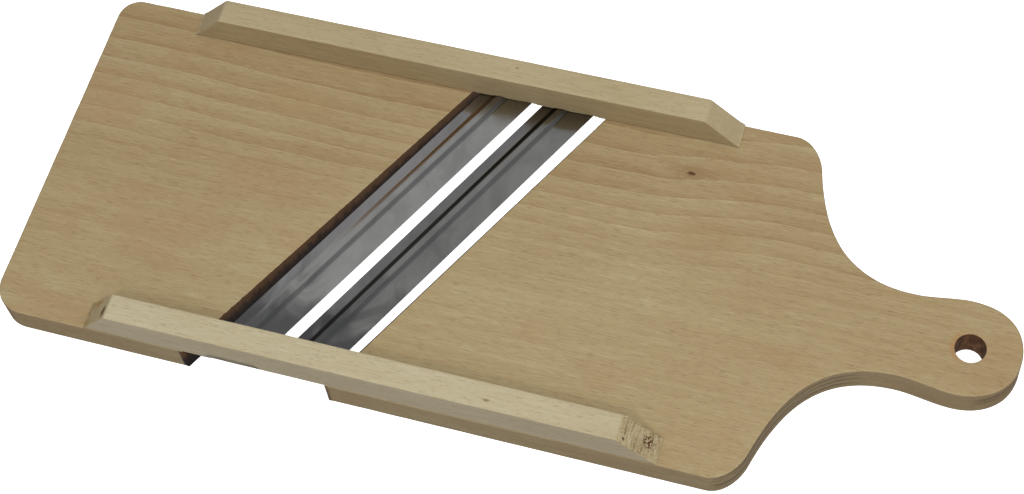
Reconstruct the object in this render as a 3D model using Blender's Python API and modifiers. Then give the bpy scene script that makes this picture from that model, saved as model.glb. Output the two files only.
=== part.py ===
"""Wooden mandoline slicer for cabbage: a beech board sawn in two by a slanting throat, bridged by two
rails that carry two fixed blades. Metres, +Z up, +X towards the handle, resting on z = 0."""

import math

import bmesh
import bpy
from mathutils import Matrix, Vector

MM = 0.001

# Boards, measured along X from the square end
LENGTH = 429.4 * MM
BOARD_WIDTH = 165 * MM
HALF_WIDTH = BOARD_WIDTH / 2
BOARD_THICKNESS = 15 * MM
BOARD_EASING = 0.8 * MM
NEAR_CORNER_RADIUS = 14 * MM
FAR_CORNER_RADIUS = 10 * MM
HANG_HOLE_RADIUS = 6.5 * MM
HANG_HOLE_X = 407.9 * MM

# Throat: where each board's cut crosses the centreline, and its slant from the Y axis
END_CUT_X = 134.1 * MM
END_CUT_SLANT = math.radians(28.2)
HANDLE_CUT_X = 196.2 * MM
HANDLE_CUT_SLANT = math.radians(27.5)

# Handle outline
SHOULDER_X = 316.5 * MM
SHOULDER_END = (331.1 * MM, 68.0 * MM)
SHOULDER_HEADING = math.radians(-76)
WAIST_X = 381.5 * MM
WAIST_HALF_WIDTH = 19.4 * MM
GRIP_X = 405.5 * MM
GRIP_HALF_WIDTH = 22.0 * MM

# Rails, flush with the long edges; each run is the length of a sloping end
RAIL_WIDTH = 12 * MM
RAIL_HEIGHT = 15.5 * MM
RAIL_EASING = 0.6 * MM
RAIL_CENTRE_Y = HALF_WIDTH - RAIL_WIDTH / 2
GLUE_GAP = 0.3 * MM
RAIL_BASE_Z = BOARD_THICKNESS + GLUE_GAP
RAILS = {
    "near_rail": {
        "side": -1,
        "start": 44.0 * MM,
        "end": 296.3 * MM,
        "start_run": 13.2 * MM,
        "end_run": 16.5 * MM,
    },
    "far_rail": {
        "side": 1,
        "start": 39.6 * MM,
        "end": 293.8 * MM,
        "start_run": 13.9 * MM,
        "end_run": 15.5 * MM,
    },
}

# Blades: the back edge's X on the centreline, the slant, the two ends' Y, and where the rails' pockets stop
BLADE_WIDTH = 21.3 * MM
BLANK_WIDTH = 22.2 * MM
BLADE_THICKNESS = 0.8 * MM
BLADE_TILT = math.radians(3.5)
EDGE_THICKNESS = 0.15 * MM
GROUND_WIDTH = 3.2 * MM
GROUND_HALF_LENGTH = 68 * MM
RIB_START = 4.4 * MM
RIB_END = 11.2 * MM
RIB_FLANK = 2.1 * MM
RIB_HEIGHT = 0.9 * MM
BLADES = {
    "rear_blade": {
        "back_x": 139.4 * MM,
        "slant": math.radians(27.3),
        "ends": (-82.0 * MM, 76.5 * MM),
        "pocket": (-86.0 * MM, 76.8 * MM),
    },
    "front_blade": {
        "back_x": 168.1 * MM,
        "slant": math.radians(27.0),
        "ends": (-77.5 * MM, 80.5 * MM),
        "pocket": (-77.8 * MM, 80.8 * MM),
    },
}

# Fasteners
FIT_CLEARANCE = 0.3 * MM
TURNED_STEPS = 20
RAIL_SCREW_LENGTH = 25 * MM
RAIL_SCREW_HEAD_RADIUS = 3.3 * MM
RAIL_SCREW_SHANK_RADIUS = 1.6 * MM
RAIL_SCREW_TIP = 4 * MM
RAIL_SCREW_RECESS = 0.5 * MM
RAIL_SCREW_SLOT = 0.9 * MM
RAIL_SCREW_X = {
    "near_rail": (58 * MM, 80 * MM, 172 * MM, 226 * MM, 280 * MM),
    "far_rail": (54 * MM, 104 * MM, 156 * MM, 250 * MM, 280 * MM),
}
NAIL_LENGTH = 9 * MM
NAIL_HEAD_RADIUS = 1.9 * MM
NAIL_HEAD_HEIGHT = 0.5 * MM
NAIL_SHANK_RADIUS = 0.8 * MM
NAIL_TIP = 1.6 * MM
NAIL_ACROSS = (2.2 * MM, 14.6 * MM)
NAIL_Y = 75 * MM

ARC_HANDLE = 0.5523  # length of a Bezier handle that draws a quarter circle of radius 1


def new_collection(name):
    collection = bpy.data.collections.new(name)
    bpy.context.scene.collection.children.link(collection)
    return collection


def new_material(name, colour, roughness, metallic):
    material = bpy.data.materials.new(name)
    material.use_nodes = True
    shader = material.node_tree.nodes["Principled BSDF"]
    shader.inputs["Base Color"].default_value = (*colour, 1)
    shader.inputs["Roughness"].default_value = roughness
    shader.inputs["Metallic"].default_value = metallic
    material.diffuse_color = (*colour, 1)
    return material


def add_part(name, mesh, material, location=(0, 0, 0)):
    """A visible sub-part, placed from the board's square end."""
    part = bpy.data.objects.new(name, mesh)
    parts.objects.link(part)
    part.parent = square_end
    part.location = location
    part.active_material = material
    return part


def add_cutter(name, mesh, collection, location=(0, 0, 0)):
    cutter = bpy.data.objects.new(name, mesh)
    collection.objects.link(cutter)
    cutter.parent = square_end
    cutter.location = location
    cutter.hide_render = True
    cutter.display_type = "WIRE"
    return cutter


def cut(part, cutter):
    """Takes a cutter, or every cutter in a collection, out of a part."""
    boolean = part.modifiers.new("cut_" + cutter.name, "BOOLEAN")
    if isinstance(cutter, bpy.types.Collection):
        boolean.operand_type = "COLLECTION"
        boolean.collection = cutter
    else:
        boolean.object = cutter


def ease_edges(part, width):
    bevel = part.modifiers.new("eased_edges", "BEVEL")
    bevel.width = width
    bevel.segments = 2
    bevel.limit_method = "ANGLE"
    bevel.angle_limit = math.radians(35)


def clean(mesh):
    """Welds the loose caps that a curve leaves and turns every face outwards."""
    edit = bmesh.new()
    edit.from_mesh(mesh)
    bmesh.ops.remove_doubles(edit, verts=edit.verts, dist=0.001 * MM)
    bmesh.ops.dissolve_limit(edit, angle_limit=math.radians(0.5), verts=edit.verts, edges=edit.edges)
    bmesh.ops.recalc_face_normals(edit, faces=edit.faces)
    edit.to_mesh(mesh)
    edit.free()


def evaluated_mesh(drawn):
    """The mesh that an object's modifiers or curve settings give; the object itself is removed."""
    bpy.context.scene.collection.objects.link(drawn)
    graph = bpy.context.evaluated_depsgraph_get()
    mesh = bpy.data.meshes.new_from_object(drawn.evaluated_get(graph))
    mesh.name = drawn.name
    bpy.data.objects.remove(drawn)
    return mesh


# Outlines


def corner(x, y):
    """A sharp point of an outline."""
    return Vector((x, y)), None, None


def smooth(x, y, heading, arriving, leaving):
    """A point passed at this heading, with its handle lengths; None is for a straight side."""
    along = Vector((math.cos(heading), math.sin(heading)))
    before = None if arriving is None else Vector((x, y)) - along * arriving
    after = None if leaving is None else Vector((x, y)) + along * leaving
    return Vector((x, y)), before, after


def mirrored(points):
    """The same points on the other side of the centreline, in the opposite order."""
    flip = Matrix(((1, 0), (0, -1)))
    return [
        tuple(flip @ place if place else None for place in (point, after, before))
        for point, before, after in reversed(points)
    ]


def outline_mesh(name, points, half_depth, transform=Matrix()):
    """A flat outline in X and Y, half_depth thick each way along Z, then moved by a matrix."""
    curve = bpy.data.curves.new(name, "CURVE")
    curve.dimensions = "2D"
    curve.fill_mode = "BOTH"
    curve.extrude = half_depth
    curve.resolution_u = 10
    spline = curve.splines.new("BEZIER")
    spline.bezier_points.add(len(points) - 1)
    spline.use_cyclic_u = True
    for knot, (point, before, after) in zip(spline.bezier_points, points):
        knot.co = point.to_3d()
        knot.handle_left_type = "FREE" if before else "VECTOR"
        knot.handle_right_type = "FREE" if after else "VECTOR"
        knot.handle_left = (before or point).to_3d()
        knot.handle_right = (after or point).to_3d()
    mesh = evaluated_mesh(bpy.data.objects.new(name, curve))
    bpy.data.curves.remove(curve)
    mesh.transform(transform)
    clean(mesh)
    return mesh


def cut_corner(crossing, slant, side):
    """Where a throat cut meets a long edge of the board."""
    y = side * HALF_WIDTH
    return corner(crossing + math.tan(slant) * y, y)


def end_board_outline():
    near_handle = ARC_HANDLE * NEAR_CORNER_RADIUS
    far_handle = ARC_HANDLE * FAR_CORNER_RADIUS
    down = math.radians(-90)
    return [
        smooth(0, NEAR_CORNER_RADIUS - HALF_WIDTH, down, None, near_handle),
        smooth(NEAR_CORNER_RADIUS, -HALF_WIDTH, 0, near_handle, None),
        cut_corner(END_CUT_X, END_CUT_SLANT, -1),
        cut_corner(END_CUT_X, END_CUT_SLANT, 1),
        smooth(FAR_CORNER_RADIUS, HALF_WIDTH, math.pi, None, far_handle),
        smooth(0, HALF_WIDTH - FAR_CORNER_RADIUS, down, far_handle, None),
    ]


def handle_board_outline():
    """Far cut corner, shoulder, waist, grip and tip, then the same way back on the near side."""
    side = [
        smooth(SHOULDER_X, HALF_WIDTH, 0, None, 7 * MM),
        smooth(*SHOULDER_END, SHOULDER_HEADING, 7.6 * MM, 32 * MM),
        smooth(WAIST_X, WAIST_HALF_WIDTH, 0, 29 * MM, 8 * MM),
        smooth(GRIP_X, GRIP_HALF_WIDTH, 0, 8 * MM, 14 * MM),
    ]
    tip = smooth(LENGTH, 0, math.radians(-90), 13.5 * MM, 13.5 * MM)
    far_corner = cut_corner(HANDLE_CUT_X, HANDLE_CUT_SLANT, 1)
    near_corner = cut_corner(HANDLE_CUT_X, HANDLE_CUT_SLANT, -1)
    return [far_corner, *side, tip, *mirrored(side), near_corner]


# Turned fasteners


def turned_mesh(name, profile, slot=None):
    """A profile of (radius, height) from tip to head turned about Z, with a slot cut across the head."""
    line = bpy.data.meshes.new(name)
    points = [(radius, 0, height) for radius, height in profile]
    line.from_pydata(points, [(i, i + 1) for i in range(len(points) - 1)], [])
    drawn = bpy.data.objects.new(name, line)
    screw = drawn.modifiers.new("turned", "SCREW")
    screw.steps = TURNED_STEPS
    screw.render_steps = TURNED_STEPS
    screw.use_merge_vertices = True
    screw.merge_threshold = 0.001 * MM
    if slot:
        cut(drawn, slot)
    mesh = evaluated_mesh(drawn)
    clean(mesh)
    mesh.shade_smooth()
    mesh.set_sharp_from_angle(angle=math.radians(35))
    return mesh


def rail_screw_profile(gap):
    """Countersunk head at height 0 and point upwards, grown by a gap all round."""
    head = RAIL_SCREW_HEAD_RADIUS + gap
    shank = RAIL_SCREW_SHANK_RADIUS + gap
    below = -2 * RAIL_SCREW_RECESS if gap else 0
    return [
        (0, RAIL_SCREW_LENGTH + gap),
        (shank, RAIL_SCREW_LENGTH - RAIL_SCREW_TIP + gap),
        (shank, RAIL_SCREW_HEAD_RADIUS - RAIL_SCREW_SHANK_RADIUS + gap),
        (head, gap),
        (head, below),
        (0, below),
    ]


def nail_profile():
    """Flat head under height 0 and point upwards."""
    return [
        (0, NAIL_LENGTH),
        (NAIL_SHANK_RADIUS, NAIL_LENGTH - NAIL_TIP),
        (NAIL_SHANK_RADIUS, 0),
        (NAIL_HEAD_RADIUS, 0),
        (NAIL_HEAD_RADIUS, -NAIL_HEAD_HEIGHT),
        (0, -NAIL_HEAD_HEIGHT),
    ]


def nail_hole_profile():
    radius = NAIL_SHANK_RADIUS + FIT_CLEARANCE
    top = NAIL_LENGTH + FIT_CLEARANCE
    bottom = -BLADE_THICKNESS
    return [(0, top), (radius, top - NAIL_TIP), (radius, bottom), (0, bottom)]


def slot_cutter():
    box = bmesh.new()
    bmesh.ops.create_cube(box, size=1)
    size = (3 * RAIL_SCREW_HEAD_RADIUS, RAIL_SCREW_SLOT, 2 * RAIL_SCREW_SLOT)
    bmesh.ops.scale(box, verts=box.verts, vec=size)
    mesh = bpy.data.meshes.new("screw_slot")
    box.to_mesh(mesh)
    box.free()
    return add_cutter("screw_slot", mesh, cutters)


# Blades


def blade_matrix(slant):
    """Lays a section along the blade's slant, tilted, with the strip's ends parallel to the rails."""
    lay = Matrix(((1 / math.cos(slant), 0, math.tan(slant)), (0, 0, 1), (0, 1, 0))).to_4x4()
    return lay @ Matrix.Rotation(BLADE_TILT, 4, "Z")


def blade_prism(name, section, slant, ends):
    middle = (ends[0] + ends[1]) / 2
    shift = Matrix.Translation((0, 0, middle))
    points = [corner(across, height) for across, height in section]
    return outline_mesh(name, points, (ends[1] - ends[0]) / 2, blade_matrix(slant) @ shift)


def rib_line(height, spread=0):
    """The rib's outline across the blade, from back to front, raised by a height and spread at both sides."""
    return [
        (RIB_START - spread, height),
        (RIB_START + RIB_FLANK - spread, height + RIB_HEIGHT),
        (RIB_END - RIB_FLANK + spread, height + RIB_HEIGHT),
        (RIB_END + spread, height),
    ]


def blank_section():
    top = [(0, 0), *rib_line(0), (BLANK_WIDTH, 0)]
    under = [(0, -BLADE_THICKNESS), *rib_line(-BLADE_THICKNESS), (BLANK_WIDTH, -BLADE_THICKNESS)]
    return top + under[::-1]


def grinding_section():
    """What grinding takes off between the rails: the front strip and a bevel under the edge."""
    return [
        (BLADE_WIDTH, MM),
        (BLADE_WIDTH, -EDGE_THICKNESS),
        (BLADE_WIDTH - GROUND_WIDTH, -BLADE_THICKNESS),
        (BLADE_WIDTH - GROUND_WIDTH, -2 * BLADE_THICKNESS),
        (BLANK_WIDTH + MM, -2 * BLADE_THICKNESS),
        (BLANK_WIDTH + MM, MM),
    ]


def pocket_section():
    """The blade's own outline with clearance above it, open below."""
    gap = FIT_CLEARANCE
    front = BLANK_WIDTH + 4 * gap
    return [(-gap, gap), *rib_line(gap, gap), (front, gap), (front, -MM), (-gap, -MM)]


def blade_point(blade, across, y):
    """A point on the blade's top face and the face's upward normal."""
    slant = blade["slant"]
    offset = blade_matrix(slant) @ Vector((across, 0, y))
    lean = math.sin(BLADE_TILT)
    normal = Vector((-lean * math.cos(slant), lean * math.sin(slant), math.cos(BLADE_TILT)))
    return Vector((blade["back_x"], 0, BOARD_THICKNESS)) + offset, normal


# Assembly


def hang_hole_cutter():
    drill = bmesh.new()
    bmesh.ops.create_cone(
        drill,
        cap_ends=True,
        segments=40,
        radius1=HANG_HOLE_RADIUS,
        radius2=HANG_HOLE_RADIUS,
        depth=2 * BOARD_THICKNESS,
    )
    mesh = bpy.data.meshes.new("hang_hole")
    drill.to_mesh(mesh)
    drill.free()
    return add_cutter("hang_hole", mesh, cutters, (HANG_HOLE_X, 0, BOARD_THICKNESS / 2))


def make_boards():
    for name, outline in (("end_board", end_board_outline()), ("handle_board", handle_board_outline())):
        mesh = outline_mesh(name, outline, BOARD_THICKNESS / 2)
        board = add_part(name, mesh, beech_board, (0, 0, BOARD_THICKNESS / 2))
        ease_edges(board, BOARD_EASING)
        cut(board, fastener_holes)
        if name == "handle_board":
            cut(board, hang_hole_cutter())


def make_rails():
    upright = Matrix.Rotation(math.radians(90), 4, "X")
    for name, rail in RAILS.items():
        outline = [
            corner(rail["start"], 0),
            corner(rail["end"], 0),
            corner(rail["end"] - rail["end_run"], RAIL_HEIGHT),
            corner(rail["start"] + rail["start_run"], RAIL_HEIGHT),
        ]
        mesh = outline_mesh(name, outline, RAIL_WIDTH / 2, upright)
        part = add_part(name, mesh, beech_rail, (0, rail["side"] * RAIL_CENTRE_Y, RAIL_BASE_Z))
        ease_edges(part, RAIL_EASING)
        cut(part, blade_pockets)
        cut(part, fastener_holes)


def make_blades():
    ground_ends = (-GROUND_HALF_LENGTH, GROUND_HALF_LENGTH)
    for name, blade in BLADES.items():
        slant = blade["slant"]
        back_edge = (blade["back_x"], 0, BOARD_THICKNESS)
        blank = blade_prism(name, blank_section(), slant, blade["ends"])
        grinding = blade_prism(name + "_grinding", grinding_section(), slant, ground_ends)
        pocket = blade_prism(name + "_pocket", pocket_section(), slant, blade["pocket"])
        strip = add_part(name, blank, blade_steel, back_edge)
        cut(strip, add_cutter(grinding.name, grinding, cutters, back_edge))
        cut(strip, fastener_holes)
        add_cutter(pocket.name, pocket, blade_pockets, back_edge)


def make_rail_screws():
    screw = turned_mesh("rail_screw", rail_screw_profile(0), slot_cutter())
    hole = turned_mesh("rail_screw_hole", rail_screw_profile(FIT_CLEARANCE))
    for rail, places in RAIL_SCREW_X.items():
        for number, x in enumerate(places, 1):
            at = (x, RAILS[rail]["side"] * RAIL_CENTRE_Y, RAIL_SCREW_RECESS)
            name = f"{rail}_screw_{number}"
            add_part(name, screw, screw_steel, at)
            add_cutter(name + "_hole", hole, fastener_holes, at)


def make_blade_nails():
    nail = turned_mesh("blade_nail", nail_profile())
    hole = turned_mesh("blade_nail_hole", nail_hole_profile())
    for blade_name, blade in BLADES.items():
        places = [(across, side * NAIL_Y) for side in (-1, 1) for across in NAIL_ACROSS]
        for number, (across, y) in enumerate(places, 1):
            top, normal = blade_point(blade, across, y)
            at = top - normal * (BLADE_THICKNESS + FIT_CLEARANCE)
            name = f"{blade_name}_nail_{number}"
            fastener = add_part(name, nail, nail_steel, at)
            drilled = add_cutter(name + "_hole", hole, fastener_holes, at)
            for tilted in (fastener, drilled):
                tilted.rotation_mode = "QUATERNION"
                tilted.rotation_quaternion = normal.to_track_quat("Z", "Y")


for old in list(bpy.data.objects):
    bpy.data.objects.remove(old, do_unlink=True)

parts = new_collection("mandoline_slicer")
cutters = new_collection("cutters")
fastener_holes = new_collection("fastener_holes")
blade_pockets = new_collection("blade_pockets")

square_end = bpy.data.objects.new("square_end", None)
parts.objects.link(square_end)
square_end.location = (-LENGTH / 2, 0, 0)

beech_board = new_material("beech_board", (0.46, 0.34, 0.20), 0.55, 0.0)
beech_rail = new_material("beech_rail", (0.52, 0.41, 0.26), 0.6, 0.0)
blade_steel = new_material("blade_steel", (0.62, 0.63, 0.62), 0.18, 1.0)
screw_steel = new_material("screw_steel", (0.55, 0.54, 0.50), 0.35, 1.0)
nail_steel = new_material("nail_steel", (0.50, 0.49, 0.47), 0.4, 1.0)

make_rail_screws()
make_blade_nails()
make_blades()
make_boards()
make_rails()
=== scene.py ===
import math

import bmesh
import bpy
from mathutils import Matrix, Quaternion, Vector, geometry, noise


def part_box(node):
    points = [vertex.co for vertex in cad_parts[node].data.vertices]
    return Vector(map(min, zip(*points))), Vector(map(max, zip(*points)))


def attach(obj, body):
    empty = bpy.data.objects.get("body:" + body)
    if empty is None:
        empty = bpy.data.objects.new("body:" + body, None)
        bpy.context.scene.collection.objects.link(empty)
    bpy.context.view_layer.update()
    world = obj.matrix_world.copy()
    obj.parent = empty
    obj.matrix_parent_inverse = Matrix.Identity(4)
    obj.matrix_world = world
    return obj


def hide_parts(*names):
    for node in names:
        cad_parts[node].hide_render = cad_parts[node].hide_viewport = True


# The looks of a wooden cabbage mandoline: worn beech boards and rails, two polished steel blades.
# Every length is in millimetres from the board's square end, until a mesh is moved into the row frame.

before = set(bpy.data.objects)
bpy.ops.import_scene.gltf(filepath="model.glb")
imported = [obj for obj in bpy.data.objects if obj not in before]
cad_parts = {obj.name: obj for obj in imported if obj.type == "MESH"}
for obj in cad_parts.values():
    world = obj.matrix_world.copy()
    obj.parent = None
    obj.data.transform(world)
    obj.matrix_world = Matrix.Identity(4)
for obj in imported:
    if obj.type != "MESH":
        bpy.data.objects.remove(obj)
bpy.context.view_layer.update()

MM = 0.001
LENGTH = round((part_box("handle_board")[1][0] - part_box("end_board")[0][0]) / MM, 2)


def span(node, axis):
    """Where a CAD node starts and ends along an axis (0, 1 or 2 for x, y or z)."""
    origin = LENGTH / 2 if axis == 0 else 0
    return [round(corner[axis] / MM + origin, 2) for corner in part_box(node)]


def middle(node, axis):
    """Where the middle of a CAD node's box is along an axis."""
    start, end = span(node, axis)
    return round((start + end) / 2, 2)


# Boards
HALF_WIDTH = span("end_board", 1)[1]
BOARD_TOP = span("end_board", 2)[1]
OUTLINE_STEP = 1.5
UNDERSIDE_EASING = 0.8
TOP_EASING = 0.9
SAWN_EASING = 0.3
SIDE_LEVELS = (2.5, 4.5, 6.5, 8.5, 10.5, 12.5)
NEAR_CORNER_RADIUS = 14
FAR_CORNER_RADIUS = 10
SAWN_CORNER_RADIUS = 0.15
EDGE_WAVINESS = 0.06
ON_CUT = 0.3
END_CUT_X = 134.1
END_CUT_LEAN = math.tan(math.radians(28.2))
HANDLE_CUT_X = 196.2
HANDLE_CUT_LEAN = math.tan(math.radians(27.5))
HANG_HOLE_X = 407.9
HANG_HOLE_RADIUS = 6.5
HANG_HOLE_FLARE = 0.35

# The handle's far side: x, y, heading in degrees, and the Bezier handles before and after each point
HANDLE_KNOTS = (
    (316.5, HALF_WIDTH, 0, 0, 7),
    (331.1, 68.0, -76, 7.6, 32),
    (381.5, 19.4, 0, 29, 8),
    (405.5, 22.0, 0, 8, 14),
    (LENGTH, 0.0, -90, 13.5, 0),
)

# Rails: which side each is on, where it starts and ends along x, and how far its two sloping ends run
RAIL_CENTRE_Y = middle("far_rail", 1)
RAIL_HALF_WIDTH = HALF_WIDTH - RAIL_CENTRE_Y
RAIL_BASE, RAIL_PEAK = span("far_rail", 2)
RAIL_HEIGHT = round(RAIL_PEAK - RAIL_BASE, 2)
RAIL_EASING = 0.6
RAIL_STEP = 4.0
SLOPE_STEP = 0.5
SLOPE_MARGIN = 1.5
END_GAP = 0.05
CREST_EASING = 0.8
FEATHER_EDGE = 0.35
RAILS = {
    "near_rail": {"side": -1, "start": 44.0, "end": 296.3, "start_run": 13.2, "end_run": 16.5},
    "far_rail": {"side": 1, "start": 39.6, "end": 293.8, "start_run": 13.9, "end_run": 15.5},
}

# Slivers standing off the near rail's torn end: root, tip and width
SPLINTERS = (
    ((279.6, -71.2, 30.2), (283.4, -70.9, 30.1), 1.2),
    ((280.5, -72.4, 29.4), (284.6, -72.0, 28.3), 0.9),
    ((283.0, -71.0, 26.8), (287.2, -70.8, 24.7), 0.8),
    ((287.5, -71.2, 22.6), (291.6, -70.9, 20.6), 0.7),
    ((290.2, -72.2, 20.2), (294.8, -71.4, 18.6), 0.9),
    ((291.5, -74.6, 18.9), (295.6, -74.9, 17.5), 0.6),
    ((281.8, -81.9, 28.1), (285.4, -82.2, 26.0), 0.7),
    ((286.6, -81.8, 23.6), (290.2, -82.1, 21.3), 0.6),
    ((284.4, -77.4, 25.9), (288.0, -77.0, 23.6), 0.5),
)

# Blades: a strip of spring steel with one pressed bead, ground underneath along its front edge
BLADE_WIDTH = 21.3
BLANK_WIDTH = 22.2
BLADE_THICKNESS = 0.8
BLADE_TILT = math.radians(3.5)
EDGE_THICKNESS = 0.15
GROUND_WIDTH = 3.2
BACK_ROUNDING = 0.1
BEAD_START = 4.4
BEAD_TOP_START = 6.8
BEAD_TOP_END = 9.4
BEAD_END = 11.2
BEAD_HEIGHT = 0.9
BEAD_SOFTNESS = 0.04
BLADE_WAVINESS = 0.03
BEAD_STEPS = 20
BLADE_STEP = 2.0
POCKET_FLANK = 1.8
BLADES = {
    "rear_blade": {"back_x": 139.4, "slant": 27.3, "ends": (-82.0, 76.5), "pocket": (-86.0, 76.8)},
    "front_blade": {"back_x": 168.1, "slant": 27.0, "ends": (-77.5, 80.5), "pocket": (-77.8, 80.8)},
}

# Fasteners
HOLE_GAP = 0.3
SCREW_LENGTH = 25
SCREW_HEAD_RADIUS = 3.3
SCREW_SHANK_RADIUS = 1.6
SCREW_TIP = 4
SCREW_RECESS = 0.5
SCREWS_PER_RAIL = 5
NAIL_LENGTH = 9
NAIL_SHANK_RADIUS = 0.8
NAIL_TIP = 1.6
NAIL_ACROSS = (2.2, 14.6)
NAIL_Y = 75
TURNED_STEPS = 28
POINTED = 0.01


# Meshes


def ripple(x, y, z=0.0):
    """Smooth noise from about -1 to 1, the same on every run."""
    return noise.noise(Vector((x, y, z)))


def ease(value, low, high):
    """0 before low, 1 after high, and smooth between them."""
    share = min(1.0, max(0.0, (value - low) / (high - low)))
    return share * share * (3 - 2 * share)


def loft(name, loops):
    """A closed mesh through loops of points, in the row frame."""
    edit = bmesh.new()
    to_row = Matrix.Scale(MM, 4) @ Matrix.Translation((-LENGTH / 2, 0, 0))
    rings = [[edit.verts.new(to_row @ point) for point in loop] for loop in loops]
    count = len(rings[0])
    for lower, upper in zip(rings, rings[1:]):
        for i in range(count):
            j = (i + 1) % count
            edit.faces.new((lower[i], lower[j], upper[j], upper[i]))
    edit.faces.new(rings[0][::-1])
    edit.faces.new(rings[-1])
    bmesh.ops.recalc_face_normals(edit, faces=edit.faces)
    mesh = bpy.data.meshes.new(name)
    edit.to_mesh(mesh)
    edit.free()
    return mesh


def joined(name, meshes):
    """One mesh that holds several, still as separate closed shells."""
    edit = bmesh.new()
    for mesh in meshes:
        edit.from_mesh(mesh)
    result = bpy.data.meshes.new(name)
    edit.to_mesh(result)
    edit.free()
    return result


def carve(mesh, cutter_mesh):
    """The mesh with the cutter taken out of it."""
    body = bpy.data.objects.new(mesh.name, mesh)
    cutter = bpy.data.objects.new("cutter", cutter_mesh)
    for each in (body, cutter):
        bpy.context.scene.collection.objects.link(each)
    boolean = body.modifiers.new("carve", "BOOLEAN")
    boolean.object = cutter
    graph = bpy.context.evaluated_depsgraph_get()
    result = bpy.data.meshes.new_from_object(body.evaluated_get(graph))
    for each in (body, cutter):
        bpy.data.objects.remove(each)
    return result


def keep_flats_flat(piece):
    """Turns the shading of each rounded edge towards the large faces beside it."""
    normals = piece.modifiers.new("flat_faces", "WEIGHTED_NORMAL")
    normals.keep_sharp = True


def add_piece(name, mesh, material, node, sharp_angle=34):
    """A visible piece that stands for one CAD node."""
    piece = bpy.data.objects.new(name, mesh)
    bpy.context.scene.collection.objects.link(piece)
    mesh.shade_smooth()
    mesh.set_sharp_from_angle(angle=math.radians(sharp_angle))
    mesh.materials.clear()
    mesh.materials.append(material)
    keep_flats_flat(piece)
    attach(piece, "root")
    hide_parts(node)


def turned(profile, matrix):
    """A closed solid turned from (radius, height) pairs, pointed where a radius is 0, and then moved."""
    angles = [math.tau * i / TURNED_STEPS for i in range(TURNED_STEPS)]
    circle = [Vector((math.cos(angle), math.sin(angle), 0)) for angle in angles]
    loops = []
    for radius, height in profile:
        centre = Vector((0, 0, height))
        loops.append([matrix @ (centre + max(radius, POINTED) * spoke) for spoke in circle])
    return loft("turned", loops)


# Outlines of the boards, anticlockwise seen from above


def corner_arc(before, corner, after, radius):
    """Points round one convex corner of an outline."""
    before, corner, after = Vector(before), Vector(corner), Vector(after)
    arriving = (corner - before).normalized()
    leaving = (after - corner).normalized()
    turn = math.acos(arriving.dot(leaving))
    start = corner - arriving * radius * math.tan(turn / 2)
    centre = start + Vector((-arriving.y, arriving.x)) * radius
    steps = max(4, round(radius * turn))
    return [centre + Matrix.Rotation(turn * i / steps, 2) @ (start - centre) for i in range(steps + 1)]


def filled(corners):
    """A closed outline with points added along its straight sides."""
    outline = []
    for start, end in zip(corners, corners[1:] + corners[:1]):
        count = max(1, round((end - start).length / OUTLINE_STEP))
        outline += [start.lerp(end, i / count) for i in range(count)]
    return outline


def end_board_outline():
    """The square half of the board: two round corners and the slanting cut."""
    reach = END_CUT_LEAN * HALF_WIDTH
    corners = (
        (0, -HALF_WIDTH, NEAR_CORNER_RADIUS),
        (END_CUT_X - reach, -HALF_WIDTH, SAWN_CORNER_RADIUS),
        (END_CUT_X + reach, HALF_WIDTH, SAWN_CORNER_RADIUS),
        (0, HALF_WIDTH, FAR_CORNER_RADIUS),
    )
    points = []
    for i, (x, y, radius) in enumerate(corners):
        before = corners[i - 1][:2]
        after = corners[(i + 1) % 4][:2]
        points += corner_arc(before, (x, y), after, radius)
    return filled(points)


def handle_side():
    """The far side of the handle, from the shoulder to the tip."""
    points = []
    for (x, y, turned_to, _, leaving), (next_x, next_y, next_turned_to, arriving, _) in zip(
        HANDLE_KNOTS, HANDLE_KNOTS[1:]
    ):
        start, end = Vector((x, y)), Vector((next_x, next_y))
        first = start + Matrix.Rotation(math.radians(turned_to), 2) @ Vector((leaving, 0))
        second = end - Matrix.Rotation(math.radians(next_turned_to), 2) @ Vector((arriving, 0))
        count = round(1.2 * (end - start).length / OUTLINE_STEP)
        points += geometry.interpolate_bezier(start, first, second, end, count)[:-1]
    return points + [Vector(HANDLE_KNOTS[-1][:2])]


def handle_board_outline():
    """The other half: the slanting cut, both shoulders, the waist and the grip."""
    reach = HANDLE_CUT_LEAN * HALF_WIDTH
    far = (HANDLE_CUT_X + reach, HALF_WIDTH)
    near = (HANDLE_CUT_X - reach, -HALF_WIDTH)
    side = handle_side()
    near_side = [Vector((point.x, -point.y)) for point in side]
    near_corner = corner_arc(far, near, near_side[0], SAWN_CORNER_RADIUS)
    far_corner = corner_arc(side[0], far, near, SAWN_CORNER_RADIUS)
    return filled(near_corner + near_side + side[-2::-1] + far_corner)


# Boards


def on_cut(point):
    """Whether an outline point lies on one of the two throat cuts."""
    to_end_cut = abs(END_CUT_X + END_CUT_LEAN * point.y - point.x)
    to_handle_cut = abs(HANDLE_CUT_X + HANDLE_CUT_LEAN * point.y - point.x)
    return min(to_end_cut, to_handle_cut) < ON_CUT


def sawn_depth(point, height):
    """How far the saw's marks and splintering go into a throat cut at this point; 0 off the cuts."""
    if not on_cut(point):
        return 0.0
    coarse = 0.16 * ripple(point.y * 0.7, height * 0.12)
    fine = 0.1 * ripple(point.y * 2.3, height * 0.5, 4)
    # The upper half of the end board's cut is chipped towards the near edge
    splintered = ease(-point.y, 30, 62) * (point.x < END_CUT_X) * ease(height, 7, 14)
    chips = 0.8 * splintered * max(0.0, ripple(point.y * 0.9, height * 0.25, 9))
    return max(0.0, 0.06 + coarse + fine) + chips


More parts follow.
